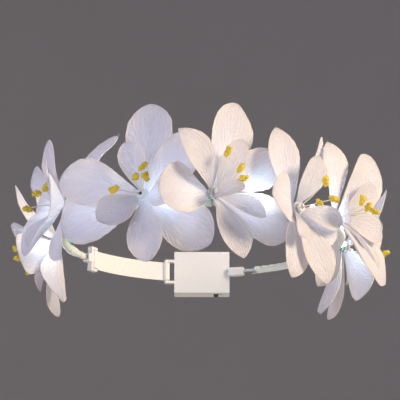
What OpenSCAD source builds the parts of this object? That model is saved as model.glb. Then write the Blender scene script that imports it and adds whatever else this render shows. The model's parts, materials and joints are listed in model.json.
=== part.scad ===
// Light-up flower crown: a taped wire hoop with an elastic back, seven cloth lilies and a battery case.
// Origin: centre of the head opening, in the plane of the hoop. +Z is up along the head,
// -Y is the wearer's front. Positions on the hoop are given as an angle from the front towards +X.

/* [Hoop] */
// Radius of the middle of the taped hoop
hoop_radius = 87; // [80:0.5:95]
// Radius of the taped hoop's section
tape_radius = 2.2; // [2.2:0.1:2.3]
// Wall of the tape sleeve
tape_wall = 0.4; // [0.3:0.1:0.4]
// Radius of the steel wire
wire_radius = 0.9; // [0.6:0.1:0.9]
// Radius of the two-core lead that runs beside the wire
lead_radius = 0.5; // [0.3:0.1:0.5]
// Angle at which the hoop ends at the strap clip
hoop_start = -120; // [-124:1:-116]
// Angle at which the hoop ends at the battery case
hoop_end = 166; // [165:1:167]

/* [Flowers] */
// Distance of each flower's heart from the head axis
heart_radius = 99; // [98.5:0.5:99.5]
// Length of the petals of the back whorl
back_length = 50; // [48:0.5:50]
// Width of the petals of the back whorl
back_width = 30; // [27:0.5:30]
// Length of the petals of the front whorl
front_length = 46; // [44:0.5:46]
// Width of the petals of the front whorl
front_width = 27; // [24:0.5:27]
// Length of the petals of the inner whorl
inner_length = 29; // [26:0.5:29]
// Width of the petals of the inner whorl
inner_width = 18; // [16:0.5:18]
// Thickness of a petal
petal_thickness = 0.6; // [0.4:0.1:0.6]
// Radius of an anther
anther_radius = 1.5; // [1:0.1:1.6]
// Outer radius of the serrated button
button_radius = 2.7; // [2.2:0.1:2.7]

/* [Strap] */
// Height of the elastic strap
strap_height = 12; // [10:0.5:12]
// Thickness of the elastic strap
strap_thickness = 1; // [0.6:0.1:1.2]

/* [Battery case] */
// Width of the case
case_width = 37; // [37:0.5:40]
// Depth of the case, from the head outwards
case_depth = 12; // [12:0.5:14]
// Height of the case
case_height = 28; // [28:0.5:32]
// Wall of the case
case_wall = 1.2; // [1:0.1:1.3]
// Thickness of the cover
cover_thickness = 1.6; // [1.4:0.1:2]
// Travel of the power switch
switch_travel = 3; // [2:0.1:3]

/* [Hidden] */
$fn = 48;
e = 0.01;                       // overshoot of cuts
FLOWER_COUNT = 7;
LAYERS = ["back_petals", "front_petals", "inner_petals"];

// Where each flower sits and looks: [angle on the hoop, height of its heart, heading, tilt above level]
PLACES = [
    [-108,  6, -108, -22],
    [ -58,  8,  -66,   5],
    [ -20,  2,  -17,   2],
    [   4,  2,   35,   0],
    [  33, -3,   46,   0],
    [  55, -1,   62,   0],
    [ 112,  3,  108, -20]];

// Each whorl's usual form: [size, lift at the root, curl over the length, cup, root radius, root height]
WHORLS = [
    [[back_length, back_width],   15, 22, 14, 2.8, -2],
    [[front_length, front_width], 28, 25, 18, 2.8,  0],
    [[inner_length, inner_width], 45, 30, 30, 3.4,  2]];

// Each petal: [direction, change of length, change of width, change of lift, change of curl, roll]
PETALS = [
    // flower 1
    [[[115, 0, -2, 0, 0, 0], [290, -6, 0, 6, 0, 0], [40, -4, 0, 0, 0, 0]],
     [[165, 4, 5, 15, -3, 0], [243, 0, 0, 8, -8, 0], [340, 0, 0, 0, 0, 0]],
     [[150, 0, 0, 12, 0, 0], [265, 0, 0, 12, 0, 0], [30, 0, 0, 0, 0, 0]]],
    // flower 2
    [[[60, 0, -4, -27, 3, 0], [150, -10, 0, 0, 0, 0], [285, -16, 0, 0, 0, 0]],
     [[100, -6, -7, 0, 0, 0], [350, -10, 0, 17, 5, 0], [215, -6, 0, 0, 0, 0]],
     [[120, -2, 0, 0, 0, 0], [38, 1, 0, 5, 0, 0], [260, 0, 0, 0, 0, 0]]],
    // flower 3
    [[[86, 3, 0, 0, 0, 0], [201, 0, 4, 0, 0, 0], [323, -4, 0, -12, 0, 0]],
     [[38, 0, 0, 0, 0, 0], [170, 1, 1, 0, 0, 0], [281, -1, -5, 4, 0, 0]],
     [[101, 0, -1, 0, 0, 0], [220, 0, 4, 0, 0, 0], [345, -5, 0, 0, 0, 0]]],
    // flower 4
    [[[74, 6, 0, 0, 0, 0], [190, -9, 0, 8, 0, 0], [337, 0, 0, 6, 0, 0]],
     [[140, 0, -7, 22, 40, 0], [34, -1, -2, 0, 0, 0], [283, -4, -5, 7, 0, 0]],
     [[74, 2, 1, 0, 0, 0], [250, -2, -7, 53, -25, 0], [330, 0, -5, 0, 0, 0]]],
    // flower 5
    [[[111, -4, -5, 0, 0, 0], [255, -6, -10, 8, 0, 0], [338, -20, -4, 12, 0, 0]],
     [[68, 2, -5, -8, 0, 30], [185, -2, 2, 12, 0, 0], [287, 0, -3, 0, 0, 0]],
     [[85, 1, 4, 0, 0, 0], [345, -3, -2, 0, 0, 0], [235, -3, -2, 0, 0, 0]]],
    // flower 6
    [[[112, -7, 0, 0, 0, 0], [355, -10, 0, 15, 0, 0], [258, -8, -4, -15, 0, 0]],
     [[58, 0, 6, 2, 0, 0], [318, 4, 0, 0, 0, 0], [185, -16, -8, 22, 0, 0]],
     [[48, 0, 0, 0, 0, 0], [342, 0, 0, 0, 0, 0], [262, 11, 4, 0, -15, 0]]],
    // flower 7
    [[[268, -6, 0, -12, -17, 0], [145, 0, 0, 0, 0, 0], [25, 0, 0, 0, 0, 0]],
     [[225, -1, 0, 2, 0, 0], [305, 0, 0, 0, 0, 0], [85, 0, 0, 0, 0, 0]],
     [[255, 0, 0, 0, 0, 0], [340, 0, 0, 0, 0, 0], [95, 0, 0, 0, 0, 0]]]];

// Each stamen: [direction, tilt away from the flower's axis, length]
STAMENS = [
    [[100, 20, 22], [0, 10, 20], [220, 20, 20]],
    [[46, 45, 10], [30, 15, 12], [278, 20, 16]],
    [[187, 35, 16], [80, 20, 12], [57, 35, 18], [41, 35, 12]],
    [[110, 45, 24], [72, 30, 18], [40, 20, 15]],
    [[90, 30, 20], [20, 10, 20], [200, 15, 18]],
    [[107, 30, 12], [70, 12, 13], [180, 0, 17.5]],
    [[100, 20, 22], [0, 10, 20], [220, 20, 20]]];

// Each bulb: [angle on the hoop, tilt above level]
BULBS = [[-96, 30], [-66, 40], [-34, 50], [-12, 60], [20, 50], [47, 60], [73, 40], [100, 20]];

// ---- Petals ----
PETAL_ROWS = [0, 0.15, 0.35, 0.58, 0.78, 0.92, 0.99];   // stations from root to tip
PETAL_COLUMNS = 4;
CLAW_WIDTH = 0.13;              // width of the root, as a share of the widest place

// Half-width of a petal along its length, as a share of half its greatest width
function outline(t) =
    let (claw = CLAW_WIDTH * pow(1 - t, 2))
    claw + (1 - claw) * pow(max(0, sin(180 * pow(t, 1.55))), 0.6);

// A point on one face of a petal that points along +X: t runs along it, c across it, s is the face
function petal_point(t, c, s, size, lift, curl, cup, root, roll) =
    let (bend = curl * PI / 180,
         slope = lift - curl * t,
         along = root[0] + size[0] / bend * (sin(lift) - sin(slope)),
         rise = root[1] + size[0] / bend * (cos(slope) - cos(lift)),
         half = size[1] / 2 * outline(t),
         round = cup * PI / 180,
         a = sin(c * cup) / round * half - s * petal_thickness / 2 * sin(c * cup),
         b = (1 - cos(c * cup)) / round * half + s * petal_thickness / 2 * cos(c * cup),
         side = a * cos(roll) - b * sin(roll),
         up = a * sin(roll) + b * cos(roll))
    [along - up * sin(slope), side, rise + up * cos(slope)];

function petal_points(size, lift, curl, cup, root, roll) =
    [for (s = [1, -1]) for (t = PETAL_ROWS) for (j = [0:PETAL_COLUMNS])
        petal_point(t, 2 * j / PETAL_COLUMNS - 1, s, size, lift, curl, cup, root, roll)];

module petal(size, lift, curl, cup, root, roll) {
    rows = len(PETAL_ROWS);
    columns = PETAL_COLUMNS + 1;
    back = rows * columns;
    faces = concat(
        [for (i = [0:rows - 2]) for (j = [0:columns - 2])
            let (p = i * columns + j) each [[p, p + 1, p + columns], [p + 1, p + columns + 1, p + columns]]],
        [for (i = [0:rows - 2]) for (j = [0:columns - 2])
            let (p = back + i * columns + j) each [[p, p + columns, p + 1], [p + 1, p + columns, p + columns + 1]]],
        [for (i = [0:rows - 2]) for (j = [0, columns - 1])
            let (p = i * columns + j, q = p + columns)
            each (j == 0 ? [[p, q, p + back], [q, q + back, p + back]]
                         : [[p, p + back, q], [q, p + back, q + back]])],
        [for (i = [0, rows - 1]) for (j = [0:columns - 2])
            let (p = i * columns + j, q = p + 1)
            each (i == 0 ? [[p, p + back, q], [q, p + back, q + back]]
                         : [[p, q, p + back], [q, q + back, p + back]])]);
    polyhedron(points = petal_points(size, lift, curl, cup, root, roll), faces = faces, convexity = 4);
}

// ---- Placing ----
module on_hoop(angle, radius = hoop_radius, height = 0)
    translate([radius * sin(angle), -radius * cos(angle), height]) rotate([0, 0, angle]) children();

module in_flower(k) {
    place = PLACES[k];
    on_hoop(place[0], heart_radius, place[1])
        rotate([0, 0, place[2] - place[0]]) rotate([90 - place[3], 0, 0]) children();
}

// A ring section swept along the hoop, between two angles
module hoop_arc(from, to, offset = 0)
    rotate([0, 0, from - 90]) rotate_extrude(angle = to - from, $fn = 120)
        translate([hoop_radius + offset, 0]) children();

// ---- Hoop ----
wire_offset = -0.75;            // the wire and the lead lie side by side in the tape
lead_offset = 1.1;
tape_start = hoop_start + 1;
tape_end = hoop_end - 8;
binding_angle = 2.4;            // half the angle that a stem binding covers
binding_wall = 0.6;

module hoop_wire()
    color("silver") hoop_arc(hoop_start - 4, hoop_end, wire_offset) circle(wire_radius);

module hoop_tape()
    color("white") hoop_arc(tape_start, tape_end) difference() {
        circle(tape_radius);
        circle(tape_radius - tape_wall);
    }

calyx_top = -2.9;
calyx_length = 5.6;
stem_radius = 1;
function flower_axis(place) =
    [sin(place[2]) * cos(place[3]), -cos(place[2]) * cos(place[3]), sin(place[3])];
function calyx_end(place) =
    [heart_radius * sin(place[0]), -heart_radius * cos(place[0]), place[1]]
    + (calyx_top - calyx_length) * flower_axis(place);
// The stem meets the hoop beside the end of the calyx
function stem_angle(place) = atan2(calyx_end(place)[0], -calyx_end(place)[1]);

module stem_bindings()
    color("palegreen") for (place = PLACES)
        hoop_arc(stem_angle(place) - binding_angle, stem_angle(place) + binding_angle) difference() {
            circle(tape_radius + binding_wall);
            circle(tape_radius + 0.05);
        }

module led_lead()
    color("peru") hoop_arc(tape_start, 170.5, lead_offset) circle(lead_radius);

bulb_radius = 1.5;
bulb_length = 2.6;
module led_bulbs()
    color("aliceblue") for (bulb = BULBS)
        on_hoop(bulb[0]) rotate([90 - bulb[1], 0, 0]) translate([0, 0, tape_radius + 0.1]) {
            cylinder(r = bulb_radius, h = bulb_length);
            translate([0, 0, bulb_length]) sphere(bulb_radius);
        }

// ---- Flowers ----
hub_bore = 1.4;
peg_radius = 1.3;
module whorl(k, layer) {
    form = WHORLS[layer];
    in_flower(k) {
        translate([0, 0, form[5] - petal_thickness / 2]) difference() {
            cylinder(r = form[4] - 0.8, h = petal_thickness);
            translate([0, 0, -e]) cylinder(r = hub_bore, h = petal_thickness + 2 * e);
        }
        for (p = PETALS[k][layer])
            rotate([0, 0, p[0]])
                petal([form[0][0] + p[1], form[0][1] + p[2]], form[1] + p[3], form[2] + p[4], form[3],
                      [form[4], form[5]], p[5]);
    }
}

button_base = 3.6;
button_height = 1.6;
button_teeth = 14;
module centre_buttons()
    color("whitesmoke") for (k = [0:FLOWER_COUNT - 1]) in_flower(k) translate([0, 0, button_base])
        difference() {
            linear_extrude(button_height) polygon([for (i = [0:2 * button_teeth - 1])
                let (a = 180 * i / button_teeth, r = button_radius - (i % 2) * 0.4) [r * cos(a), r * sin(a)]]);
            translate([0, 0, 0.4]) cylinder(r = 0.8, h = button_height);
        }

filament_radius = 0.4;
module stamens(k)
    color("gold") in_flower(k) for (s = STAMENS[k])
        rotate([0, 0, s[0]]) translate([1.7, 0, button_base + button_height + 0.45]) rotate([0, s[1], 0]) {
            cylinder(r = filament_radius, h = s[2] - anther_radius);
            translate([0, 0, s[2] - anther_radius]) sphere(anther_radius, $fn = 24);
        }

module calyx(k) {
    tip = calyx_top - calyx_length;
    end = calyx_end(PLACES[k]);
    angle = stem_angle(PLACES[k]);
    // From the middle of the hoop to the lower end of the calyx: outwards and up
    out = norm([end[0], end[1]]) - hoop_radius;
    reach = norm([out, end[2]]);
    start = tape_radius + binding_wall + 0.05;
    color("seagreen") {
        in_flower(k) {
            rotate_extrude() polygon([[0, calyx_top], [2.9, calyx_top], [2.7, calyx_top - 1.6],
                [1.6, tip + 1.6], [1.1, tip], [0, tip]]);
            translate([0, 0, calyx_top - e]) cylinder(r = peg_radius, h = button_base - calyx_top - 0.1);
        }
        on_hoop(angle) rotate([90 - atan2(end[2], out), 0, 0])
            translate([0, 0, start]) cylinder(r = stem_radius, h = reach - start + 0.3);
    }
}

// ---- Strap ----
bar_radius = 1.2;
clip_bar_angle = 360 + hoop_start - 6;
case_bar_angle = 196;
loop_inner = bar_radius + 0.1;

module strap_bar(angle, height)
    on_hoop(angle) translate([0, 0, -height / 2]) cylinder(r = bar_radius, h = height);

module strap_clip() {
    height = strap_height + 4;
    color("whitesmoke") difference() {
        union() {
            on_hoop(hoop_start - 2.4) translate([-2.6, -2.4, -2.6]) cube([6, 4.8, 5.2]);
            for (z = [-height / 2, height / 2 - 1.6])
                on_hoop(hoop_start - 5) translate([-3, -1.6, z]) cube([6, 3.2, 1.6]);
            on_hoop(hoop_start - 3.6) translate([-1, -1.6, -height / 2]) cube([2, 3.2, height]);
            strap_bar(clip_bar_angle, height);
        }
        hoop_arc(hoop_start - 4.1, hoop_start + 4, wire_offset) circle(wire_radius + 0.1);
    }
}

module elastic_strap()
    color("ivory") translate([0, 0, -strap_height / 2]) linear_extrude(strap_height) difference() {
        half = strap_thickness / 2;
        union() {
            for (angle = [case_bar_angle, clip_bar_angle])
                rotate(angle) translate([0, -hoop_radius]) circle(r = loop_inner + strap_thickness);
            polygon([for (side = [half, -half], i = [0:40])
                let(angle = case_bar_angle + (clip_bar_angle - case_bar_angle) * (side > 0 ? i : 40 - i) / 40)
                (hoop_radius + side) * [sin(angle), -cos(angle)]]);
        }
        for (angle = [case_bar_angle, clip_bar_angle])
            rotate(angle) translate([0, -hoop_radius]) circle(r = loop_inner);
    }

// ---- Battery case ----
case_back = 85.2;               // face towards the head
case_front = case_back + case_depth;
well_centre = -5.8;
cell_radius = 10;
cell_thickness = 3.2;
cells_start = case_back + case_wall + 2.25;
boss = [11, 6];
shank_radius = 0.85;
switch_x = 11;
switch_y = case_back + 6;

module case_box(inset, from, to)
    translate([-case_width / 2 + inset, from, -case_height / 2 + inset])
        cube([case_width - 2 * inset, to - from, case_height - 2 * inset]);

// A cylinder along +Y whose axis is at [x, z]
module along_y(at, from, to, radius)
    translate([at[0], from, at[1]]) rotate([-90, 0, 0]) cylinder(r = radius, h = to - from);

module battery_case() {
    floor_y = case_back + case_wall;
    bar_height = strap_height + 4;
    color("whitesmoke") difference() {
        union() {
            difference() {
                case_box(0, case_back, case_front);
                case_box(case_wall, floor_y, case_front + e);
            }
            difference() {
                along_y([well_centre, 0], floor_y - e, floor_y + 7, cell_radius + 1.3);
                along_y([well_centre, 0], floor_y, floor_y + 8, cell_radius + 0.3);
                translate([well_centre + cell_radius - 1, floor_y, -3.4]) cube([4, 8, 6.8]);
            }
            along_y(boss, floor_y - e, case_front - 1.7, 2.4);
            on_hoop(hoop_end - 1.5) translate([-5, -2.6, -2.6]) cube([10, 5, 5.2]);
            for (z = [-bar_height / 2, bar_height / 2 - 1.6])
                translate([-case_width / 2 - 6.2, 82.6, z]) cube([6.3, 4, 1.6]);
            strap_bar(case_bar_angle, bar_height);
        }
        along_y(boss, floor_y + 1, case_front, shank_radius + 0.07);
        hoop_arc(hoop_end - 8, hoop_end + 0.1, wire_offset) circle(wire_radius + 0.1);
        hoop_arc(hoop_end - 8, 171, lead_offset) circle(lead_radius + 0.1);
        translate([switch_x - switch_travel / 2 - 1.7, switch_y - 1.2, -case_height / 2 - e])
            cube([switch_travel + 3.4, 2.4, case_wall + 2 * e]);
    }
}

module battery_cover() {
    lip = case_wall + 0.2;
    color("whitesmoke") difference() {
        union() {
            case_box(0, case_front, case_front + cover_thickness);
            difference() {
                case_box(lip, case_front - 1.5, case_front + e);
                case_box(lip + 1, case_front - 1.5 - e, case_front);
            }
        }
        along_y(boss, case_front - 2, case_front + cover_thickness + e, 1);
        along_y(boss, case_front + 0.4, case_front + cover_thickness + e, 2.1);
    }
}

module cover_screw() {
    head = case_front + 0.5;
    color("silver") difference() {
        union() {
            along_y(boss, head, case_front + cover_thickness, 2);
            along_y(boss, case_back + 4, head + e, shank_radius);
        }
        for (turn = [0, 90]) translate([boss[0], case_front + cover_thickness, boss[1]]) rotate([0, turn, 0])
            translate([-1.4, -0.6, -0.25]) cube([2.8, 1, 0.5]);
    }
}

module coin_cells()
    color("gainsboro") for (i = [0, 1])
        along_y([well_centre, 0], cells_start + i * (cell_thickness + 0.05),
                cells_start + i * (cell_thickness + 0.05) + cell_thickness, cell_radius);

module spring_contact() {
    floor_y = case_back + case_wall;
    color("goldenrod") {
        along_y([well_centre, 0], floor_y + 0.05, floor_y + 0.4, 6);
        along_y([well_centre, 0], floor_y + 0.3, cells_start - 0.05, 2.2);
    }
}

module side_contact()
    color("goldenrod") translate([well_centre + cell_radius + 0.05, case_back + case_wall + 0.05, -3])
        cube([0.4, 8, 6]);

module switch_body()
    color("dimgray") difference() {
        translate([switch_x - 5.1, switch_y - 2, -case_height / 2 + case_wall]) cube([10.2, 4, 3.6]);
        translate([switch_x - 4.3, switch_y - 1.5, -case_height / 2 + case_wall - e]) cube([8.6, 3, 2.8]);
    }

module switch_slider() {
    left = switch_x - switch_travel / 2;
    color("black") {
        translate([left - 2.6, switch_y - 1.4, -case_height / 2 + case_wall + 0.2]) cube([5.2, 2.8, 1.2]);
        translate([left - 1.5, switch_y - 1, -case_height / 2 - 1.6]) cube([3, 2, case_wall + 1.9]);
    }
}

// ---- Assembly ----
hoop_wire();
hoop_tape();
stem_bindings();
led_lead();
led_bulbs();
strap_clip();
elastic_strap();
battery_case();
battery_cover();
cover_screw();
coin_cells();
spring_contact();
side_contact();
switch_body();
switch_slider();
centre_buttons();
for (k = [0:FLOWER_COUNT - 1]) {
    name = str("flower_", k + 1, "_");
    for (layer = [0:2])
        color("white") whorl(k, layer);
    stamens(k);
    calyx(k);
}
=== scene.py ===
import json
import random
from math import cos, pi, radians, sin

import bmesh
import bpy
from mathutils import Matrix, Vector

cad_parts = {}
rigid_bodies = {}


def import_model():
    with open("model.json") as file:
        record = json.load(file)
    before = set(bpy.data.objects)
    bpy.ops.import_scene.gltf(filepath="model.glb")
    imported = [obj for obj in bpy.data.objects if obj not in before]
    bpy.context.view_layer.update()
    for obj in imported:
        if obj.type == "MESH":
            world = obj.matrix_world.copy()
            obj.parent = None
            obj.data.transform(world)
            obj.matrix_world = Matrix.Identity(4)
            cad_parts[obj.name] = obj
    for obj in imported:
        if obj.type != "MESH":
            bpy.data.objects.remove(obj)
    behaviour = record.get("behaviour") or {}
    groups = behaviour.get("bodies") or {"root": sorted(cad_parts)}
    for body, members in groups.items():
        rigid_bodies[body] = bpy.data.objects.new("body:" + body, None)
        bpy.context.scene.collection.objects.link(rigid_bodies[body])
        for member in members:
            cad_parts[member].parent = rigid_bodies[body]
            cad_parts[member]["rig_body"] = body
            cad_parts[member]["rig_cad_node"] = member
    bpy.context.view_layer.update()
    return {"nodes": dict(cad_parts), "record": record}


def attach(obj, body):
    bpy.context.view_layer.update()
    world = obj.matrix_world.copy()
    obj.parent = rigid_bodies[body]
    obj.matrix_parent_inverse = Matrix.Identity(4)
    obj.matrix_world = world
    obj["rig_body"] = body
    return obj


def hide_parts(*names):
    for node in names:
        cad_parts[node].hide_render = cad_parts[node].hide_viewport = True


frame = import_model()
bpy.ops.object.select_all(action='DESELECT')
mm = 0.001

# View
view = {"height": -16, "distance": 1.1, "lens": 158.4, "right": -0.00125, "up": 0.025}


def makeCamera():
    tilt = radians(view["height"])
    away = Vector((0, -cos(tilt), sin(tilt)))
    up = Vector((0, sin(tilt), cos(tilt)))
    aim = Vector((view["right"], 0, 0)) + up * view["up"]
    bpy.ops.object.camera_add(location=aim + away * view["distance"],
                              rotation=(-away).to_track_quat('-Z', 'Y').to_euler())
    camera = bpy.context.object
    camera.data.lens = view["lens"]
    camera.data.clip_start = 0.01
    bpy.context.scene.camera = camera


makeCamera()

# Sizes shared with the CAD model
hoop = {"radius": 87 * mm, "tape": 2.2 * mm, "bulb": 3.2 * mm, "heart": 99 * mm, "start": -119, "end": 158}

places = [[-108, 6, -108, -22], [-58, 8, -66, 5], [-20, 2, -17, 2], [4, 2, 35, 0],
          [33, -3, 46, 0], [55, -1, 62, 0], [112, 3, 108, -20]]   # angle, height, heading, tilt

# length, width, lift at the root, curl, cup, root radius, root height
whorlForms = {"back": [50, 30, 15, 22, 14, 2.8, -2],
              "front": [46, 27, 28, 25, 18, 2.8, 0],
              "inner": [29, 18, 45, 30, 30, 3.4, 2]}

# direction, change of length, width, lift and curl, roll
petals = [
    {"back": [[115, 0, -2, 0, 0, 0], [290, -6, 0, 6, 0, 0], [40, -4, 0, 0, 0, 0]],
     "front": [[165, 4, 5, 15, -3, 0], [243, 0, 0, 8, -8, 0], [340, 0, 0, 0, 0, 0]],
     "inner": [[150, 0, 0, 12, 0, 0], [265, 0, 0, 12, 0, 0], [30, 0, 0, 0, 0, 0]]},
    {"back": [[60, 0, -4, -27, 3, 0], [150, -10, 0, 0, 0, 0], [285, -16, 0, 0, 0, 0]],
     "front": [[100, -6, -7, 0, 0, 0], [350, -10, 0, 17, 5, 0], [215, -6, 0, 0, 0, 0]],
     "inner": [[120, -2, 0, 0, 0, 0], [38, 1, 0, 5, 0, 0], [260, 0, 0, 0, 0, 0]]},
    {"back": [[86, 3, 0, 0, 0, 0], [201, 0, 4, 0, 0, 0], [323, -4, 0, -12, 0, 0]],
     "front": [[38, 0, 0, 0, 0, 0], [170, 1, 1, 0, 0, 0], [281, -1, -5, 4, 0, 0]],
     "inner": [[101, 0, -1, 0, 0, 0], [220, 0, 4, 0, 0, 0], [345, -5, 0, 0, 0, 0]]},
    {"back": [[74, 6, 0, 0, 0, 0], [190, -9, 0, 8, 0, 0], [337, 0, 0, 6, 0, 0]],
     "front": [[140, 0, -7, 22, 40, 0], [34, -1, -2, 0, 0, 0], [283, -4, -5, 7, 0, 0]],
     "inner": [[74, 2, 1, 0, 0, 0], [250, -2, -7, 53, -25, 0], [330, 0, -5, 0, 0, 0]]},
    {"back": [[111, -4, -5, 0, 0, 0], [255, -6, -10, 8, 0, 0], [338, -20, -4, 12, 0, 0]],
     "front": [[68, 2, -5, -8, 0, 30], [185, -2, 2, 12, 0, 0], [287, 0, -3, 0, 0, 0]],
     "inner": [[85, 1, 4, 0, 0, 0], [345, -3, -2, 0, 0, 0], [235, -3, -2, 0, 0, 0]]},
    {"back": [[112, -7, 0, 0, 0, 0], [355, -10, 0, 15, 0, 0], [258, -8, -4, -15, 0, 0]],
     "front": [[58, 0, 6, 2, 0, 0], [318, 4, 0, 0, 0, 0], [185, -16, -8, 22, 0, 0]],
     "inner": [[48, 0, 0, 0, 0, 0], [342, 0, 0, 0, 0, 0], [262, 11, 4, 0, -15, 0]]},
    {"back": [[268, -6, 0, -12, -17, 0], [145, 0, 0, 0, 0, 0], [25, 0, 0, 0, 0, 0]],
     "front": [[225, -1, 0, 2, 0, 0], [305, 0, 0, 0, 0, 0], [85, 0, 0, 0, 0, 0]],
     "inner": [[255, 0, 0, 0, 0, 0], [340, 0, 0, 0, 0, 0], [95, 0, 0, 0, 0, 0]]}]

# direction, tilt away from the flower's axis, length
stamens = [
    [[100, 20, 22], [0, 10, 20], [220, 20, 20]],
    [[46, 45, 10], [30, 15, 12], [278, 20, 16]],
    [[187, 35, 16], [80, 20, 12], [57, 35, 18], [41, 35, 12]],
    [[110, 45, 24], [72, 30, 18], [40, 20, 15]],
    [[90, 30, 20], [20, 10, 20], [200, 15, 18]],
    [[107, 30, 12], [70, 12, 13], [180, 0, 17.5]],
    [[100, 20, 22], [0, 10, 20], [220, 20, 20]]]

bulbs = [[-96, 30, 0.4], [-66, 40, 0.9], [-34, 50, 1.3], [-12, 60, 1.6], [20, 50, 1.3], [47, 60, 1.2],
         [73, 40, 0.9], [100, 20, 0.5]]     # angle, tilt, share of the light, which sets each bulb's lamp and the painted glow it leaves on the cloth

bodyOf = {}
for bodyName, members in frame["record"]["behaviour"]["bodies"].items():
    for member in members:
        bodyOf[member] = bodyName


# Small helpers
def choose(*objects):
    bpy.ops.object.select_all(action='DESELECT')
    for obj in objects:
        obj.select_set(True)
    bpy.context.view_layer.objects.active = objects[0]
    return objects[0]


def duplicate(obj, name):
    choose(obj)
    bpy.ops.object.duplicate()
    copy = bpy.context.object
    copy.name = copy.data.name = name
    return copy


def join(objects, name):
    piece = choose(*objects)
    bpy.ops.object.join()
    piece.name = piece.data.name = name
    return piece


def applyTransform(obj, matrix=None):
    if matrix is not None:
        obj.matrix_world = matrix
    choose(obj)
    bpy.ops.object.transform_apply(location=True, rotation=True, scale=True)


def addModifier(obj, kind, **values):
    modifier = obj.modifiers.new(kind.lower(), kind)
    for key, value in values.items():
        setattr(modifier, key, value)
    choose(obj)
    bpy.ops.object.modifier_apply(modifier=modifier.name)


def bend(obj, axis, angle):
    addModifier(obj, 'SIMPLE_DEFORM', deform_method='BEND', deform_axis=axis, angle=angle)


def easeEdges(obj, width, limit=40, segments=2):
    addModifier(obj, 'BEVEL', width=width, segments=segments, limit_method='ANGLE',
                angle_limit=radians(limit))


def pick(obj, test):            # in edit mode, selects the vertices that pass
    mesh = bmesh.from_edit_mesh(obj.data)
    for vertex in mesh.verts:
        vertex.select = test(vertex.co)
    mesh.select_flush_mode()
    bmesh.update_edit_mesh(obj.data)


def edit(obj):
    choose(obj)
    bpy.ops.object.mode_set(mode='EDIT')
    bpy.ops.mesh.select_mode(type='VERT')
    bpy.ops.mesh.select_all(action='DESELECT')


def makeOutward():              # in edit mode, merges doubles and turns the faces outwards
    bpy.ops.mesh.select_all(action='SELECT')
    bpy.ops.mesh.remove_doubles(threshold=0.001 * mm)
    bpy.ops.mesh.normals_make_consistent(inside=False)


def done():
    bpy.ops.object.mode_set(mode='OBJECT')


def smooth(obj, angle=None):
    choose(obj)
    if angle is None:
        bpy.ops.object.shade_smooth()
    else:
        bpy.ops.object.shade_smooth_by_angle(angle=radians(angle))


def onHoop(angle, radius=hoop["radius"], height=0.0):
    turn = radians(angle)
    spot = Matrix.Translation((radius * sin(turn), -radius * cos(turn), height))
    return spot @ Matrix.Rotation(turn, 4, 'Z')


def inFlower(k):
    angle, height, heading, tilt = places[k]
    spot = onHoop(angle, hoop["heart"], height * mm).to_translation()
    return (Matrix.Translation(spot) @ Matrix.Rotation(radians(heading), 4, 'Z')
            @ Matrix.Rotation(radians(90 - tilt), 4, 'X'))


def clouds(name, size, depth=1):
    texture = bpy.data.textures.new(name, 'CLOUDS')
    texture.noise_scale = size
    texture.noise_depth = depth
    return texture


# Materials
def newMaterial(name):
    material = bpy.data.materials.new(name)
    material.use_nodes = True
    nodes = material.node_tree.nodes
    return material, nodes, material.node_tree.links, nodes["Principled BSDF"]


def addNode(tree, kind, **values):
    node = tree.nodes.new(kind)
    for key, value in values.items():
        setattr(node, key, value)
    return node


def newGroup(name, inputs, outputs):
    group = bpy.data.node_groups.new(name, 'ShaderNodeTree')
    for title, kind, value in inputs:
        group.interface.new_socket(name=title, in_out='INPUT', socket_type=kind).default_value = value
    for title, kind in outputs:
        group.interface.new_socket(name=title, in_out='OUTPUT', socket_type=kind)
    return group, group.nodes.new('NodeGroupInput'), group.nodes.new('NodeGroupOutput')


def useGroup(tree, group, **values):
    node = tree.nodes.new('ShaderNodeGroup')
    node.node_tree = group
    for key, value in values.items():
        node.inputs[key].default_value = value
    return node


def calculate(tree, operation, *terms):     # each term is a number or another node's output
    node = addNode(tree, 'ShaderNodeMath', operation=operation)
    for socket, term in zip(node.inputs, terms):
        if isinstance(term, (int, float)):
            socket.default_value = term
        else:
            tree.links.new(term, socket)
    return node.outputs[0]


def bulbPoint(angle, tilt):     # middle of a bulb's dome
    lift = radians(tilt)
    reach = hoop["tape"] + hoop["bulb"]
    return onHoop(angle) @ Vector((0, -reach * cos(lift), reach * sin(lift)))


def glowGroup():                # painted glow: how near a point is to the bulbs, 0 to 1
    group, start, end = newGroup("paintedBulbGlow", [("Reach", 'NodeSocketFloat', 0.012)],
                                 [("Mask", 'NodeSocketFloat')])
    place = addNode(group, 'ShaderNodeTexCoord').outputs["Object"]
    brightest = max(light for angle, tilt, light in bulbs)
    total = None
    for angle, tilt, light in bulbs:
        gap = addNode(group, 'ShaderNodeVectorMath', operation='DISTANCE')
        group.links.new(place, gap.inputs[0])
        gap.inputs[1].default_value = bulbPoint(angle, tilt)
        share = calculate(group, 'DIVIDE', gap.outputs["Value"], start.outputs["Reach"])
        fade = calculate(group, 'ADD', calculate(group, 'POWER', share, 3.0), 1.0)
        falloff = calculate(group, 'DIVIDE', light / brightest, fade)
        total = falloff if total is None else calculate(group, 'MAXIMUM', total, falloff)
    group.links.new(total, end.inputs["Mask"])
    return group


def weaveGroup():               # fine plain weave on Object coordinates
    group, start, end = newGroup("clothWeave", [("Threads", 'NodeSocketFloat', 2200.0)],
                                 [("Height", 'NodeSocketFloat')])
    threads = start.outputs["Threads"]
    parts = addNode(group, 'ShaderNodeSeparateXYZ')
    group.links.new(addNode(group, 'ShaderNodeTexCoord').outputs["Object"], parts.inputs[0])
    around = calculate(group, 'ADD', parts.outputs[0], parts.outputs[1])
    warp = calculate(group, 'SINE', calculate(group, 'MULTIPLY', around, threads))
    weft = calculate(group, 'SINE', calculate(group, 'MULTIPLY', parts.outputs[2], threads))
    group.links.new(calculate(group, 'MULTIPLY', warp, weft), end.inputs["Height"])
    return group


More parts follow.
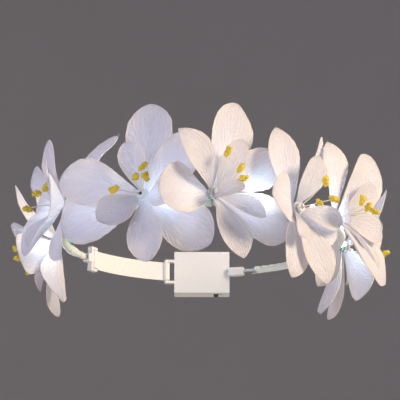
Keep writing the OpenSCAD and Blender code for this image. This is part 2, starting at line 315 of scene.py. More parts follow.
veinForm = {"lengthwise": 10, "sideways": 9, "slope": 1.5, "wander": 5.0, "sway": 0.35, "straight": 0.12,
            "shares": (0.4, 0.6)}   # veins over the length and the width, and how much each counts


def ripple(tree, value, count):
    return calculate(tree, 'SINE', calculate(tree, 'MULTIPLY', value, 2 * pi * count))


def veinGroup():                # veins that fan out over a petal, from its UV map
    group, _, end = newGroup("petalVeins", [], [("Height", 'NodeSocketFloat'), ("Edge", 'NodeSocketFloat')])
    place = addNode(group, 'ShaderNodeUVMap', uv_map="UVMap").outputs[0]
    parts = addNode(group, 'ShaderNodeSeparateXYZ')
    group.links.new(place, parts.inputs[0])
    across = calculate(group, 'ABSOLUTE', calculate(group, 'SUBTRACT', parts.outputs[0], 0.5))
    along = parts.outputs[1]
    noise = addNode(group, 'ShaderNodeTexNoise')
    noise.inputs["Scale"].default_value = veinForm["wander"]
    group.links.new(place, noise.inputs["Vector"])
    sway = calculate(group, 'MULTIPLY', noise.outputs[0], veinForm["sway"])
    spread = calculate(group, 'ADD', across, calculate(group, 'MULTIPLY', sway, veinForm["straight"]))
    feather = calculate(group, 'SUBTRACT', along, calculate(group, 'MULTIPLY', across, veinForm["slope"]))
    lengthwise = ripple(group, spread, veinForm["lengthwise"])
    sideways = ripple(group, calculate(group, 'ADD', feather, sway), veinForm["sideways"])
    shares = [calculate(group, 'MULTIPLY', veins, share)
              for veins, share in zip((lengthwise, sideways), veinForm["shares"])]
    group.links.new(calculate(group, 'ADD', *shares), end.inputs["Height"])
    edge = calculate(group, 'POWER', calculate(group, 'MULTIPLY', across, 2.0), 4.0)
    group.links.new(edge, end.inputs["Edge"])
    return group


paintedBulbGlow = glowGroup()
clothWeave = weaveGroup()
petalVeins = veinGroup()


def mixColours(tree, factor, first, second):
    node = addNode(tree, 'ShaderNodeMix', data_type='RGBA')
    for index, value in ((0, factor), (6, first), (7, second)):
        if isinstance(value, (float, int, tuple)):
            node.inputs[index].default_value = value
        else:
            tree.links.new(value, node.inputs[index])
    return node.outputs[2]


# glow, glowStrength and glowReach set a painted glow on the cloth round the bulbs
petalCloth = {"shade": (0.90, 0.87, 0.93, 1), "light": (0.97, 0.955, 0.96, 1), "edge": (0.97, 0.90, 0.82, 1),
              "blotches": 60.0, "veinShade": 0.12, "edgeTint": 0.6, "roughness": 0.85, "sheen": 0.25,
              "veinDepth": 0.24 * mm, "veinStrength": 0.65,
              "threads": 9000.0, "threadDepth": 0.06 * mm, "threadStrength": 0.35,
              "glow": (0.60, 0.78, 1.0, 1), "glowStrength": 2.4, "glowReach": 8.5 * mm, "seeThrough": 0.38}


def addBump(tree, height, strength, depth):
    bump = addNode(tree, 'ShaderNodeBump')
    bump.inputs["Strength"].default_value = strength
    bump.inputs["Distance"].default_value = depth
    tree.links.new(height, bump.inputs["Height"])
    return bump


def makePetalCloth():
    material, nodes, links, shader = newMaterial("petalCloth")
    tree = material.node_tree
    veins = useGroup(tree, petalVeins)
    weave = useGroup(tree, clothWeave, Threads=petalCloth["threads"])
    blotch = addNode(tree, 'ShaderNodeTexNoise')
    blotch.inputs["Scale"].default_value = petalCloth["blotches"]
    blotch.inputs["Detail"].default_value = 4.0
    links.new(addNode(tree, 'ShaderNodeTexCoord').outputs["Object"], blotch.inputs["Vector"])
    body = mixColours(tree, blotch.outputs[0], petalCloth["shade"], petalCloth["light"])
    # painted shade along the veins: where the vein relief stands higher, the colour is mixed further toward
    # the shade colour
    raised = calculate(tree, 'ADD', veins.outputs["Height"], 1.0)
    veinShadeShare = calculate(tree, 'MULTIPLY', raised, petalCloth["veinShade"])
    veinShaded = mixColours(tree, veinShadeShare, body, petalCloth["shade"])
    rim = calculate(tree, 'MULTIPLY', veins.outputs["Edge"], petalCloth["edgeTint"])
    edged = mixColours(tree, rim, veinShaded, petalCloth["edge"])
    links.new(edged, shader.inputs["Base Color"])
    shader.inputs["Roughness"].default_value = petalCloth["roughness"]
    shader.inputs["Sheen Weight"].default_value = petalCloth["sheen"]
    shader.inputs["Sheen Roughness"].default_value = 0.5
    shader.inputs["Specular IOR Level"].default_value = 0.2
    coarse = addBump(tree, veins.outputs["Height"], petalCloth["veinStrength"], petalCloth["veinDepth"])
    fine = addBump(tree, weave.outputs["Height"], petalCloth["threadStrength"], petalCloth["threadDepth"])
    links.new(coarse.outputs[0], fine.inputs["Normal"])
    links.new(fine.outputs[0], shader.inputs["Normal"])
    # painted glow: the cloth gives off bluish light round each bulb, standing in for bulb light that shines
    # through it
    glow = useGroup(tree, paintedBulbGlow, Reach=petalCloth["glowReach"])
    lit = mixColours(tree, glow.outputs[0], (0, 0, 0, 1), petalCloth["glow"])
    links.new(lit, shader.inputs["Emission Color"])
    shader.inputs["Emission Strength"].default_value = petalCloth["glowStrength"]
    through = addNode(tree, 'ShaderNodeBsdfTranslucent')
    links.new(edged, through.inputs["Color"])
    links.new(fine.outputs[0], through.inputs["Normal"])
    both = addNode(tree, 'ShaderNodeMixShader')
    both.inputs[0].default_value = petalCloth["seeThrough"]
    links.new(shader.outputs[0], both.inputs[1])
    links.new(through.outputs[0], both.inputs[2])
    links.new(both.outputs[0], nodes["Material Output"].inputs["Surface"])
    return material


def grainGroup():               # a fine mottle that changes the colour, the gloss and the relief together
    group, start, end = newGroup(
        "surfaceGrain",
        [("Scale", 'NodeSocketFloat', 500.0), ("Dark", 'NodeSocketColor', (0.5, 0.5, 0.5, 1)),
         ("Pale", 'NodeSocketColor', (0.6, 0.6, 0.6, 1)), ("Roughness", 'NodeSocketFloat', 0.5)],
        [("Color", 'NodeSocketColor'), ("Roughness", 'NodeSocketFloat'), ("Height", 'NodeSocketFloat')])
    noise = addNode(group, 'ShaderNodeTexNoise')
    noise.inputs["Detail"].default_value = 4.0
    group.links.new(addNode(group, 'ShaderNodeTexCoord').outputs["Object"], noise.inputs["Vector"])
    group.links.new(start.outputs["Scale"], noise.inputs["Scale"])
    grain = noise.outputs[0]
    colour = mixColours(group, grain, start.outputs["Dark"], start.outputs["Pale"])
    group.links.new(colour, end.inputs["Color"])
    change = calculate(group, 'MULTIPLY', calculate(group, 'SUBTRACT', grain, 0.5), 0.2)
    group.links.new(calculate(group, 'ADD', start.outputs["Roughness"], change), end.inputs["Roughness"])
    group.links.new(grain, end.inputs["Height"])
    return group


surfaceGrain = grainGroup()


def makeSurface(name, dark, pale, scale, roughness, depth, **sockets):
    material, nodes, links, shader = newMaterial(name)
    tree = material.node_tree
    grain = useGroup(tree, surfaceGrain, Scale=scale, Dark=dark, Pale=pale, Roughness=roughness)
    links.new(grain.outputs["Color"], shader.inputs["Base Color"])
    links.new(grain.outputs["Roughness"], shader.inputs["Roughness"])
    if depth:
        links.new(addBump(tree, grain.outputs["Height"], 0.6, depth * mm).outputs[0], shader.inputs["Normal"])
    for key, value in sockets.items():
        shader.inputs[key].default_value = value
    return material


# name, dark and pale colour, scale of the grain, roughness, depth of the relief in mm
plainFinishes = {
    "anther": ("antherGold", (0.66, 0.46, 0.02, 1), (0.95, 0.78, 0.12, 1), 1400, 0.8, 0.3),
    "filament": ("filamentPale", (0.86, 0.88, 0.72, 1), (0.95, 0.94, 0.88, 1), 700, 0.5, 0),
    "calyx": ("calyxGreen", (0.05, 0.24, 0.12, 1), (0.12, 0.45, 0.26, 1), 500, 0.45, 0.1),
    "button": ("buttonPlastic", (0.86, 0.90, 0.90, 1), (0.95, 0.97, 0.97, 1), 300, 0.25, 0),
    # the hole finish is painted shade, near-black, for the plugs set in the buttons' holes
    "hole": ("paintedHoleShade", (0.01, 0.012, 0.012, 1), (0.04, 0.05, 0.05, 1), 400, 0.4, 0),
    "tape": ("crepeTape", (0.72, 0.78, 0.68, 1), (0.88, 0.90, 0.84, 1), 900, 0.7, 0.15),
    "wire": ("hoopSteel", (0.45, 0.46, 0.48, 1), (0.62, 0.63, 0.65, 1), 600, 0.35, 0),
    "lead": ("copperLead", (0.45, 0.20, 0.08, 1), (0.72, 0.38, 0.18, 1), 500, 0.3, 0),
    "elastic": ("braidedElastic", (0.80, 0.79, 0.75, 1), (0.93, 0.92, 0.89, 1), 1500, 0.85, 0.1),
    "plastic": ("caseWhite", (0.80, 0.80, 0.79, 1), (0.88, 0.88, 0.87, 1), 1800, 0.45, 0.04),
    "black": ("switchBlack", (0.02, 0.02, 0.022, 1), (0.05, 0.05, 0.055, 1), 1500, 0.4, 0.04),
    "screw": ("screwNickel", (0.55, 0.56, 0.58, 1), (0.72, 0.73, 0.74, 1), 900, 0.25, 0),
    "cell": ("cellSteel", (0.62, 0.63, 0.65, 1), (0.78, 0.79, 0.80, 1), 700, 0.3, 0),
    "brass": ("contactBrass", (0.62, 0.45, 0.18, 1), (0.80, 0.62, 0.30, 1), 700, 0.3, 0),
    "bulb": ("litBulb", (0.80, 0.90, 1.0, 1), (0.95, 0.98, 1.0, 1), 500, 0.15, 0)}
metals = {"wire": 1.0, "lead": 0.8, "screw": 1.0, "cell": 1.0, "brass": 1.0}
bulbGleam = {"Emission Color": (0.78, 0.88, 1.0, 1), "Emission Strength": 6.0}

finishes = {"petal": makePetalCloth()}
for finishName, values in plainFinishes.items():
    extra = bulbGleam if finishName == "bulb" else {"Metallic": metals.get(finishName, 0.0)}
    finishes[finishName] = makeSurface(*values, **extra)
print("finishes ready")


def setFinish(obj, name):
    obj.data.materials.clear()
    obj.data.materials.append(finishes[name])


# Petals
petalBlank = {"rows": 40, "columns": 24, "claw": 0.13, "tighter": 1.35,     # rows lie closer near the tip
              "vein": 0.3 * mm, "veinEvery": 3, "veinSpan": 0.42, "veinSteps": ((0.08, 0.92), (0.2, 0.8)),
              "fold": 1.2, "foldEnd": 0.75, "fray": 0.018, "tip": 0.004, "twist": 9, "thickness": 0.34 * mm,
              "ruffle": 2.6 * mm, "innerRuffle": 0.6, "ruffleSize": 22 * mm, "cutShare": 0.74,
              "clothShares": (1.75, 1.55)}
hubForm = {"overlap": 0.5, "hole": 1.4}     # mm past the petals' roots, and the radius of the peg's hole


def outline(t, rise, point):
    claw = petalBlank["claw"] * (1 - t) ** 2
    return claw + (1 - claw) * max(0.0, sin(pi * t ** rise)) ** point


def makePetalBlank(name, rise, point, lean, veinShare):    # a flat petal, 1 wide and 1 long, on the origin
    jitter = random.Random(name)
    rows, columns, vein = petalBlank["rows"], petalBlank["columns"], petalBlank["vein"]
    bpy.ops.mesh.primitive_grid_add(x_subdivisions=columns, y_subdivisions=rows, size=1,
                                    location=(0, 0, 0.5), rotation=(radians(90), 0, 0))
    blank = bpy.context.object
    blank.name = name
    applyTransform(blank)
    edit(blank)
    for low, high in petalBlank["veinSteps"]:       # veins, raised in two steps so that their ends fade
        pick(blank, lambda co: low < co.z < high and abs(co.x) < petalBlank["veinSpan"]
             and round((co.x + 0.5) * columns) % petalBlank["veinEvery"] == 0)
        bpy.ops.transform.translate(value=(0, vein * veinShare / 2, 0))
    pick(blank, lambda co: co.z < petalBlank["foldEnd"] and abs(co.x) < 0.02)
    bpy.ops.transform.translate(value=(0, -vein * petalBlank["fold"], 0))   # fold along the middle
    for row in range(rows, -1, -1):
        level = row / rows
        t = 1 - (1 - level) ** petalBlank["tighter"]
        pick(blank, lambda co: abs(co.z - level) < 0.2 / rows)
        wide = outline(t, rise, point) * (1 + jitter.uniform(-1, 1) * petalBlank["fray"])
        wide = max(wide, petalBlank["tip"])
        bpy.ops.transform.resize(value=(wide, 1, 1), center_override=(0, 0, level))
        bpy.ops.transform.translate(value=(lean * sin(pi * t) * t, 0, t - level + 2))   # parked above
    bpy.ops.mesh.select_all(action='SELECT')
    bpy.ops.transform.translate(value=(0, 0, -2))
    done()
    return blank


petalCuts = {"petalBlankA": (1.55, 0.62, 0.03, 0.4), "petalBlankB": (1.45, 0.7, 0.1, 0.7),
             "petalBlankC": (1.62, 0.58, -0.11, 0.5), "petalBlankD": (1.5, 0.8, -0.05, 1.3)}
blanks = [makePetalBlank(name, *cut) for name, cut in petalCuts.items()]
firmVeins = {3: "front", 4: "front", 5: "back"}     # whorls cut from the last blank, with deeper veins
print("petal blanks ready")

ruffles = clouds("petalRuffle", petalBlank["ruffleSize"])
tips = {}                       # where each petal ends
draw = random.Random(7)


def makePetal(k, layer, index):
    length, width, lift, curl, cup, rootRadius, rootHeight = whorlForms[layer]
    direction, longer, wider, raised, curled, roll = petals[k][layer][index]
    blank = blanks[-1 if firmVeins.get(k) == layer else draw.randrange(3)]
    petal = duplicate(blank, f"petal{k}{layer}{index}")
    petal.scale = ((width + wider) * mm, 1, (length + longer) * mm)
    applyTransform(petal)
    bend(petal, 'Z', radians(2 * cup))
    applyTransform(petal, Matrix.Rotation(radians(roll), 4, 'Z'))
    twist = draw.uniform(-petalBlank["twist"], petalBlank["twist"])
    addModifier(petal, 'SIMPLE_DEFORM', deform_method='TWIST', deform_axis='Z', angle=radians(twist))
    bend(petal, 'X', radians(-curl - curled))
    standing = Matrix(((0, 0, 1, 0), (1, 0, 0, 0), (0, 1, 0, 0), (0, 0, 0, 1)))
    applyTransform(petal, inFlower(k) @ Matrix.Rotation(radians(direction), 4, 'Z')
                   @ Matrix.Translation((rootRadius * mm, 0, rootHeight * mm))
                   @ Matrix.Rotation(-radians(lift + raised), 4, 'Y') @ standing)
    heart = inFlower(k).to_translation()
    tips[(k, layer, index)] = max((vertex.co for vertex in petal.data.vertices),
                                  key=lambda co: (co - heart).length).copy()
    return petal


def makeHub(k, layer):          # the uncut middle of a whorl, round the peg
    rootRadius, rootHeight = whorlForms[layer][5:]
    radius = rootRadius + hubForm["overlap"]
    bpy.ops.mesh.primitive_circle_add(vertices=36, radius=radius * mm, fill_type='NGON')
    hub = bpy.context.object
    edit(hub)
    bpy.ops.mesh.select_all(action='SELECT')
    bpy.ops.mesh.inset(thickness=(radius - hubForm["hole"]) * mm)
    bpy.ops.mesh.delete(type='FACE')
    done()
    applyTransform(hub, inFlower(k) @ Matrix.Translation((0, 0, rootHeight * mm)))
    return hub


def makeWhorl(k, layer):
    pieces = [makePetal(k, layer, index) for index in range(3)] + [makeHub(k, layer)]
    whorl = join(pieces, f"flower{k + 1}{layer.title()}Whorl")
    addModifier(whorl, 'DISPLACE', texture=ruffles, texture_coords='LOCAL', direction='NORMAL',
                strength=petalBlank["ruffle"] * (petalBlank["innerRuffle"] if layer == "inner" else 1),
                mid_level=0.5)
    addModifier(whorl, 'SOLIDIFY', thickness=petalBlank["thickness"], offset=0.0)
    smooth(whorl, 50)
    setFinish(whorl, "petal")
    node = f"flower_{k + 1}_{layer}_petals"
    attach(whorl, bodyOf[node])
    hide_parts(node)


for k in range(len(places)):
    for layer in whorlForms:
        makeWhorl(k, layer)
print("whorls made")

# Stamens
stamenForm = {"filament": 0.4 * mm, "steps": 9, "taper": 0.96, "bow": (14, 30), "base": 5.65 * mm,
              "out": 1.7 * mm, "anther": 1.7 * mm, "spread": 1.25 * mm, "stretch": (1, 0.8, 1.25),
              "crumbSize": 1.1 * mm, "crumble": 1.8 * mm}
antherLumps = [[[0, 0, 0.2, 1.1], [1.0, 0.7, 1.3, 0.8], [-1.1, 0.4, -0.6, 0.85], [0.2, -0.9, 1.7, 0.7]],
               [[0, 0, 0, 1.15], [-0.9, 0.9, 1.2, 0.75], [1.0, -0.6, -0.9, 0.8]],
               [[0, 0, 0.3, 1.0], [0.8, -0.8, -1.1, 0.8], [-0.5, 0.6, 1.8, 0.85], [1.1, 0.7, 0.9, 0.6],
                [-1.2, -0.5, 0.1, 0.65]]]    # offset over the spread, share of the anther's radius


def makeFilament():             # a rod of length 1 that tapers
    bpy.ops.mesh.primitive_circle_add(vertices=8, radius=stamenForm["filament"], fill_type='NGON')
    filament = bpy.context.object
    edit(filament)
    bpy.ops.mesh.select_all(action='SELECT')
    for step in range(stamenForm["steps"]):
        bpy.ops.mesh.extrude_region_move(TRANSFORM_OT_translate={"value": (0, 0, 1 / stamenForm["steps"])})
        bpy.ops.transform.resize(value=(stamenForm["taper"], stamenForm["taper"], 1))
    makeOutward()
    done()
    return filament


def makeAnther(name, lumps):    # crumbs of foam on the thread's end
    crumbs = []
    for *offset, share in lumps:
        bpy.ops.mesh.primitive_ico_sphere_add(subdivisions=3, radius=stamenForm["anther"] * share,
                                              location=Vector(offset) * stamenForm["spread"])
        crumb = bpy.context.object
        crumb.scale = stamenForm["stretch"]
        applyTransform(crumb)
        crumbs.append(crumb)
    anther = join(crumbs, name)
    addModifier(anther, 'DISPLACE', texture=antherNoise, texture_coords='LOCAL', direction='NORMAL',
                strength=stamenForm["crumble"], mid_level=0.52)
    return anther


antherNoise = clouds("antherNoise", stamenForm["crumbSize"], 2)
filamentBlank = makeFilament()
antherBlanks = [makeAnther(f"antherBlank{number}", lumps) for number, lumps in enumerate(antherLumps)]


def makeStamens(k):
    threads, lumps = [], []
    for number, (direction, tilt, length) in enumerate(stamens[k]):
        bow = draw.uniform(*stamenForm["bow"])
        place = (inFlower(k) @ Matrix.Rotation(radians(direction), 4, 'Z')
                 @ Matrix.Translation((stamenForm["out"], 0, stamenForm["base"]))
                 @ Matrix.Rotation(radians(tilt - bow / 2), 4, 'Y') @ Matrix.Rotation(radians(-90), 4, 'Z'))
        thread = duplicate(filamentBlank, "thread")
        thread.scale = (1, 1, length * mm)
        applyTransform(thread)
        bend(thread, 'X', radians(bow))
        turn = radians(bow)
        end = Matrix.Translation((0, (1 - cos(turn)) / turn * length * mm, sin(turn) / turn * length * mm))
        applyTransform(thread, place)
        threads.append(thread)
        lump = duplicate(antherBlanks[number % len(antherBlanks)], "lump")
        applyTransform(lump, place @ end @ Matrix.Rotation(-turn, 4, 'X')
                       @ Matrix.Rotation(draw.uniform(0, 2 * pi), 4, 'Z'))
        lumps.append(lump)
    for parts, title, finish in ((threads, "Filaments", "filament"), (lumps, "Anthers", "anther")):
        piece = join(parts, f"flower{k + 1}{title}")
        smooth(piece)
        setFinish(piece, finish)
        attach(piece, bodyOf[f"flower_{k + 1}_stamens"])
        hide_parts(f"flower_{k + 1}_stamens")


for k in range(len(places)):
    makeStamens(k)
for blank in [filamentBlank] + antherBlanks + blanks:
    bpy.data.objects.remove(blank)
print("stamens made")

# Loose threads at some petals' tips
frayForm = {"petals": [(1, "back", 0), (1, "front", 0), (4, "back", 0), (5, "back", 0), (3, "back", 2),
                       (6, "back", 0)],
            "length": 2.4 * mm, "thread": 0.05 * mm, "sunk": 0.2, "steps": 8, "bow": 70, "turns": (0.4, 2.6),
            "stray": 0.5}


def makeThread():               # a bowed thread along Z whose foot lies below the origin
    length, sunk = frayForm["length"], frayForm["sunk"]
    bpy.ops.mesh.primitive_cylinder_add(vertices=6, radius=frayForm["thread"], depth=length,
                                        location=(0, 0, length * (0.5 - sunk)))
    blank = bpy.context.object
    applyTransform(blank)
    edit(blank)
    for step in range(1, frayForm["steps"]):
        bpy.ops.mesh.select_all(action='SELECT')
        bpy.ops.mesh.bisect(plane_co=(0, 0, length * (step / frayForm["steps"] - sunk)), plane_no=(0, 0, 1))
    done()
    bend(blank, 'X', radians(frayForm["bow"]))
    return blank


def makeFrays():
    blank = makeThread()
    threads = []
    for key in frayForm["petals"]:
        away = tips[key] - inFlower(key[0]).to_translation()
        outwards = away.to_track_quat('Z', 'Y').to_matrix().to_4x4()
        for turn in frayForm["turns"]:
            turn += draw.uniform(-frayForm["stray"], frayForm["stray"])
            thread = duplicate(blank, "fray")
            applyTransform(thread, Matrix.Translation(tips[key]) @ outwards @ Matrix.Rotation(turn, 4, 'Z'))
            threads.append(thread)
    piece = join(threads, "frayedThreads")
    smooth(piece, 40)
    setFinish(piece, "petal")
    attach(piece, "crown")
    bpy.data.objects.remove(blank)


makeFrays()
print("frayed threads made")

# Buttons
buttonForm = {"radius": 3.0 * mm, "teeth": 14, "notch": 0.84, "base": 3.6 * mm, "height": 1.6 * mm,
              "rim": 0.5 * mm, "crown": 0.25 * mm, "slope": 0.8 * mm, "dish": 0.2 * mm, "hole": 1.2 * mm,
              "ease": 0.12 * mm}
holeShadeForm = {"radius": 0.72 * mm, "height": 0.8 * mm, "stand": 1.0 * mm, "ease": 0.15 * mm}  # a near-black plug in each button's hole, painted shade that darkens the hole


def makeButton():
    height = buttonForm["height"]
    bpy.ops.mesh.primitive_cylinder_add(vertices=2 * buttonForm["teeth"], radius=buttonForm["radius"],
                                        depth=height, location=(0, 0, height / 2))
    button = bpy.context.object
    applyTransform(button)
    edit(button)
    pick(button, lambda co: round(co.xy.angle_signed(Vector((1, 0))) / pi * buttonForm["teeth"]) % 2 == 0)
    bpy.ops.transform.resize(value=(buttonForm["notch"], buttonForm["notch"], 1), center_override=(0, 0, 0))
    pick(button, lambda co: co.z > height / 2)
    bpy.ops.mesh.select_mode(type='FACE')
    bpy.ops.mesh.inset(thickness=buttonForm["rim"])
    bpy.ops.transform.translate(value=(0, 0, buttonForm["crown"]))
    bpy.ops.mesh.inset(thickness=buttonForm["slope"])
    bpy.ops.transform.translate(value=(0, 0, -buttonForm["dish"]))
    bpy.ops.mesh.extrude_region_move(TRANSFORM_OT_translate={"value": (0, 0, -buttonForm["hole"])})
    done()
    easeEdges(button, buttonForm["ease"], 35)
    return button


def makeHoleShade():
    bpy.ops.mesh.primitive_cylinder_add(vertices=16, radius=holeShadeForm["radius"], depth=holeShadeForm["height"])
    shadePlug = bpy.context.object
    easeEdges(shadePlug, holeShadeForm["ease"])
    return shadePlug


def onEachPeg(blank, stand, name):
    copies = []
    for k in range(len(places)):
        copies.append(duplicate(blank, name))
        applyTransform(copies[-1], inFlower(k) @ Matrix.Translation((0, 0, stand)))
    bpy.data.objects.remove(blank)
    return join(copies, name)


def makeButtons():
    buttons = onEachPeg(makeButton(), buttonForm["base"], "centreButtons")
    smooth(buttons, 35)
    setFinish(buttons, "button")
    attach(buttons, bodyOf["centre_buttons"])
    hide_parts("centre_buttons")
    # painted shade: a near-black plug stands in each button's hole to darken it
    holeShades = onEachPeg(makeHoleShade(), buttonForm["base"] + holeShadeForm["stand"], "holeShadeCores")
    setFinish(holeShades, "hole")
    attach(holeShades, bodyOf["centre_buttons"])


makeButtons()
print("buttons made")

# Sepals under each flower
sepalForm = {"length": 6.5 * mm, "width": 0.75 * mm, "flat": 0.45, "droop": 38, "reach": 2.3 * mm,
             "height": -3.3 * mm, "sizes": (0.7, 1.05)}


def makeSepal():                # a thin pointed strand along X that hangs over a little
    length = sepalForm["length"]
    bpy.ops.mesh.primitive_cone_add(vertices=8, radius1=sepalForm["width"], radius2=0, depth=length,
                                    location=(0, 0, length / 2))
    sepal = bpy.context.object
    applyTransform(sepal)
    edit(sepal)
    bpy.ops.mesh.select_all(action='SELECT')
    bpy.ops.mesh.subdivide(number_cuts=4)
    bpy.ops.transform.resize(value=(1, sepalForm["flat"], 1), center_override=(0, 0, 0))
    done()
    bend(sepal, 'X', -radians(sepalForm["droop"]))
    applyTransform(sepal, Matrix(((0, 0, 1, 0), (1, 0, 0, 0), (0, 1, 0, 0), (0, 0, 0, 1))))
    return sepal


def makeSepals():
    blank = makeSepal()
    for k in range(len(places)):
        strands = []
        for direction in [petal[0] for layer in ("back", "front") for petal in petals[k][layer]]:
            strand = duplicate(blank, "strand")
            strand.scale = (draw.uniform(*sepalForm["sizes"]),) * 3
            applyTransform(strand)
            applyTransform(strand, inFlower(k) @ Matrix.Rotation(radians(direction), 4, 'Z')
                           @ Matrix.Translation((sepalForm["reach"], 0, sepalForm["height"])))
            strands.append(strand)
        piece = join(strands, f"flower{k + 1}Sepals")
        smooth(piece)
        setFinish(piece, "calyx")
        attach(piece, bodyOf[f"flower_{k + 1}_calyx"])
    bpy.data.objects.remove(blank)


makeSepals()
print("sepals made")

# Tape wound round the hoop
tapeForm = {"turns": 76, "steps": 20, "low": 1.95 * mm, "high": 2.28 * mm, "lap": 1.12,
            "thickness": 0.14 * mm, "creases": 1.6 * mm, "creaseDepth": 0.25 * mm}


def makeTape():
    sweep = radians(hoop["end"] - hoop["start"])
    pitch = hoop["radius"] * sweep / (tapeForm["turns"] + tapeForm["lap"])
    width = pitch * tapeForm["lap"]
    bpy.ops.mesh.primitive_plane_add(size=1)
    tape = bpy.context.object
    edit(tape)
    pick(tape, lambda co: co.x > 0)
    bpy.ops.mesh.delete(type='VERT')    # leaves one edge, the ribbon's cross-section
    bpy.ops.mesh.select_all(action='SELECT')
    bpy.ops.mesh.subdivide(number_cuts=3)
    done()
    tape.scale = (1, width, 1)
    applyTransform(tape)
    applyTransform(tape, Matrix.Rotation(radians(90), 4, 'X'))
    edit(tape)
    for share, radius in ((-0.5, "low"), (-0.25, "low"), (0, "high"), (0.25, "high"), (0.5, "high")):
        pick(tape, lambda co: co.x < 0 and abs(co.z / width - share) < 0.05)
        bpy.ops.transform.translate(value=(0.5 + tapeForm[radius], 0, 0))
    done()
    addModifier(tape, 'SCREW', screw_offset=pitch, iterations=tapeForm["turns"], steps=tapeForm["steps"],
                render_steps=tapeForm["steps"], axis='Z', use_normal_calculate=True)
    edit(tape)
    makeOutward()
    done()
    centred = Matrix.Translation((0, 0, -pitch * tapeForm["turns"] / 2))
    applyTransform(tape, Matrix.Rotation(radians(90), 4, 'Y') @ centred)
    bend(tape, 'Z', sweep)
    applyTransform(tape, Matrix.Rotation(radians((hoop["end"] + hoop["start"]) / 2), 4, 'Z')
                   @ Matrix.Translation((0, -hoop["radius"], 0)))
    addModifier(tape, 'DISPLACE', texture=clouds("tapeCreases", tapeForm["creases"], 2),
                texture_coords='LOCAL', direction='NORMAL', strength=tapeForm["creaseDepth"], mid_level=0.5)
    addModifier(tape, 'SOLIDIFY', thickness=tapeForm["thickness"], offset=0.0)
    tape.name = tape.data.name = "woundTape"
    smooth(tape, 40)
    setFinish(tape, "tape")
    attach(tape, bodyOf["hoop_tape"])
    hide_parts("hoop_tape")


makeTape()
print("tape wound")

# Elastic strap
strapForm = {"start": 196, "end": 234, "width": 12 * mm, "length": 78 * mm, "thickness": 1.0 * mm,
             "loop": 1.8 * mm, "rib": 0.18 * mm, "ribs": 16, "ease": 0.2 * mm,
             "ends": 2.4, "seams": (2.4, 3.6)}      # degrees the loops take up, and from a bar to each seam
stitchForm = {"radius": 0.16 * mm, "length": 1.5 * mm, "ease": 0.08 * mm, "pitch": 2.2 * mm, "count": 5,
              "proud": 0.1 * mm}


def makeBand():
    sweep = radians(strapForm["end"] - strapForm["start"] - strapForm["ends"])
    length = hoop["radius"] * sweep
    bpy.ops.mesh.primitive_grid_add(x_subdivisions=72, y_subdivisions=2 * strapForm["ribs"], size=1,
                                    rotation=(radians(90), 0, 0))
    band = bpy.context.object
    band.scale = (length, strapForm["width"] - strapForm["ease"], 1)
    applyTransform(band)
    edit(band)
    pick(band, lambda co: round(co.z / strapForm["width"] * 2 * strapForm["ribs"]) % 2 == 0)
    bpy.ops.transform.translate(value=(0, -strapForm["rib"], 0))
    done()
    bend(band, 'Z', sweep)
    applyTransform(band, Matrix.Rotation(radians((strapForm["start"] + strapForm["end"]) / 2), 4, 'Z')
                   @ Matrix.Translation((0, -hoop["radius"], 0)))
    return band


def makeLoop(angle):
    bpy.ops.mesh.primitive_cylinder_add(vertices=40, radius=strapForm["loop"],
                                        depth=strapForm["width"] - strapForm["ease"], end_fill_type='NOTHING')
    loop = bpy.context.object
    applyTransform(loop)
    applyTransform(loop, onHoop(angle))
    return loop


def makeStitch():
    bpy.ops.mesh.primitive_cylinder_add(vertices=8, radius=stitchForm["radius"], depth=stitchForm["length"])
    stitch = bpy.context.object
    easeEdges(stitch, stitchForm["ease"])
    return stitch


def makeStitches():             # two rows of thread at each end of the band
    blank = makeStitch()
    stitches = []
    near, far = strapForm["seams"]
    out = hoop["radius"] + strapForm["thickness"] / 2 + stitchForm["proud"]
    for angle in (strapForm["start"] + near, strapForm["start"] + far, strapForm["end"] - far,
                  strapForm["end"] - near):
        for number in range(stitchForm["count"]):
            height = (number - (stitchForm["count"] - 1) / 2) * stitchForm["pitch"]
            stitches.append(duplicate(blank, "stitch"))
            applyTransform(stitches[-1], onHoop(angle, out, height))
    bpy.data.objects.remove(blank)
    piece = join(stitches, "strapStitches")
    smooth(piece, 40)
    setFinish(piece, "elastic")
    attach(piece, bodyOf["elastic_strap"])
    return piece


def makeStrap():
    strap = join([makeBand(), makeLoop(strapForm["start"]), makeLoop(strapForm["end"])], "elasticStrap")
    addModifier(strap, 'SOLIDIFY', thickness=strapForm["thickness"], offset=0.0)
    smooth(strap, 40)
    setFinish(strap, "elastic")
    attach(strap, bodyOf["elastic_strap"])
    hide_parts("elastic_strap")
    makeStitches()


makeStrap()
print("strap made")

# Moulded pieces: name, radius of the eased edges in mm, finish and slot
moulded = {"battery_case": ["caseShell", 0.35, "plastic", "white_plastic"],
           "battery_cover": ["caseCover", 0.3, "plastic", "white_plastic"],
           "strap_clip": ["endClip", 0.25, "plastic", "white_plastic"],
           "switch_slider": ["sliderKnob", 0.15, "black", "black_plastic"],
           "cover_screw": ["coverScrew", 0.08, "screw", "screw_steel"]}


def makeMoulded(node):
    name, ease, finish, slotName = moulded[node]
    piece = duplicate(frame["nodes"][node], name)
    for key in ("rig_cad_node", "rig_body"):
        if key in piece:
            del piece[key]
    piece.parent = None
    edit(piece)
    bpy.ops.mesh.select_all(action='SELECT')
    bpy.ops.mesh.remove_doubles(threshold=0.002 * mm)
    bpy.ops.mesh.dissolve_limited(angle_limit=radians(0.5))
    done()
    easeEdges(piece, ease * mm, segments=3)
    smooth(piece, 35)
    addModifier(piece, 'WEIGHTED_NORMAL', keep_sharp=True)
    setFinish(piece, finish)
    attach(piece, bodyOf[node])
    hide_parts(node)


for node in moulded:
    makeMoulded(node)
print("moulded pieces made")

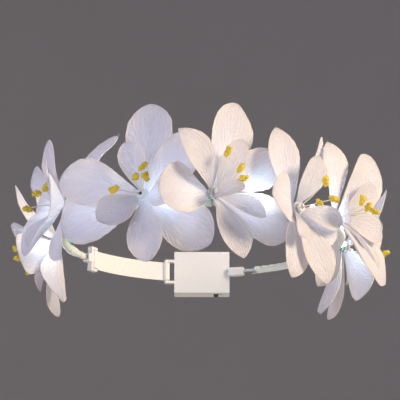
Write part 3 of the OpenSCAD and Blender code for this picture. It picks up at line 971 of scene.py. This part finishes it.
# CAD pieces that keep their shape
kept = {"hoop_wire": "wire", "stem_bindings": "tape", "led_lead": "lead", "led_bulbs": "bulb",
        "coin_cells": "cell", "spring_contact": "brass", "side_contact": "brass", "switch_body": "black"}
for k in range(len(places)):
    kept[f"flower_{k + 1}_calyx"] = "calyx"
for node, finish in kept.items():
    setFinish(frame["nodes"][node], finish)


# Studio
stage = {"floorHeight": -0.42, "floorSize": 30, "wallRadius": 4, "wallHeight": 14, "wallMiddle": 3}


def setStage(name, material):
    stand = bpy.context.object
    stand.name = name
    stand.data.materials.append(material)


def makeStage():
    floor = makeSurface("studioFloor", (0.80, 0.79, 0.80, 1), (0.84, 0.83, 0.84, 1), 3, 0.9, 0)
    wall = makeSurface("studioWall", (0.78, 0.78, 0.81, 1), (0.84, 0.84, 0.87, 1), 1.5, 0.95, 0)
    bpy.ops.mesh.primitive_plane_add(size=stage["floorSize"], location=(0, 0, stage["floorHeight"]))
    setStage("floor", floor)
    bpy.ops.mesh.primitive_cylinder_add(vertices=96, radius=stage["wallRadius"], depth=stage["wallHeight"],
                                        location=(0, 0, stage["wallMiddle"]), end_fill_type='NOTHING')
    bpy.ops.object.shade_smooth()
    setStage("backdrop", wall)


studioLights = {
    "key": {"location": (0.9, -0.55, 0.42), "size": 0.35, "energy": 13.5, "colour": (1.0, 0.83, 0.63)},
    "fill": {"location": (-0.8, -0.8, 0.05), "size": 0.7, "energy": 6.0, "colour": (0.74, 0.76, 1.0)},
    "top": {"location": (-0.1, 0.4, 0.9), "size": 0.5, "energy": 3.2, "colour": (1.0, 0.95, 0.92)}}
bulbLight = {"energy": 0.015, "colour": (0.62, 0.80, 1.0), "size": 2 * mm, "out": 1.03}
air = {"colour": (0.80, 0.80, 0.84, 1), "strength": 0.24}


def makeLights():
    for name, light in studioLights.items():
        bpy.ops.object.light_add(type='AREA', location=light["location"])
        lamp = bpy.context.object
        lamp.name = name
        lamp.rotation_euler = (-Vector(light["location"])).to_track_quat('-Z', 'Y').to_euler()
        lamp.data.size = light["size"]
        lamp.data.energy = light["energy"]
        lamp.data.color = light["colour"]
    for angle, tilt, light in bulbs:
        bpy.ops.object.light_add(type='POINT', location=bulbPoint(angle, tilt) * bulbLight["out"])
        lamp = bpy.context.object
        lamp.data.energy = bulbLight["energy"] * light
        lamp.data.shadow_soft_size = bulbLight["size"]
        lamp.data.color = bulbLight["colour"]
    world = bpy.data.worlds.new("studioAir")
    world.use_nodes = True
    background = world.node_tree.nodes["Background"]
    background.inputs["Color"].default_value = air["colour"]
    background.inputs["Strength"].default_value = air["strength"]
    bpy.context.scene.world = world
    bpy.context.scene.view_settings.view_transform = 'Standard'


makeStage()
makeLights()
print("studio ready")

print("crown finished")
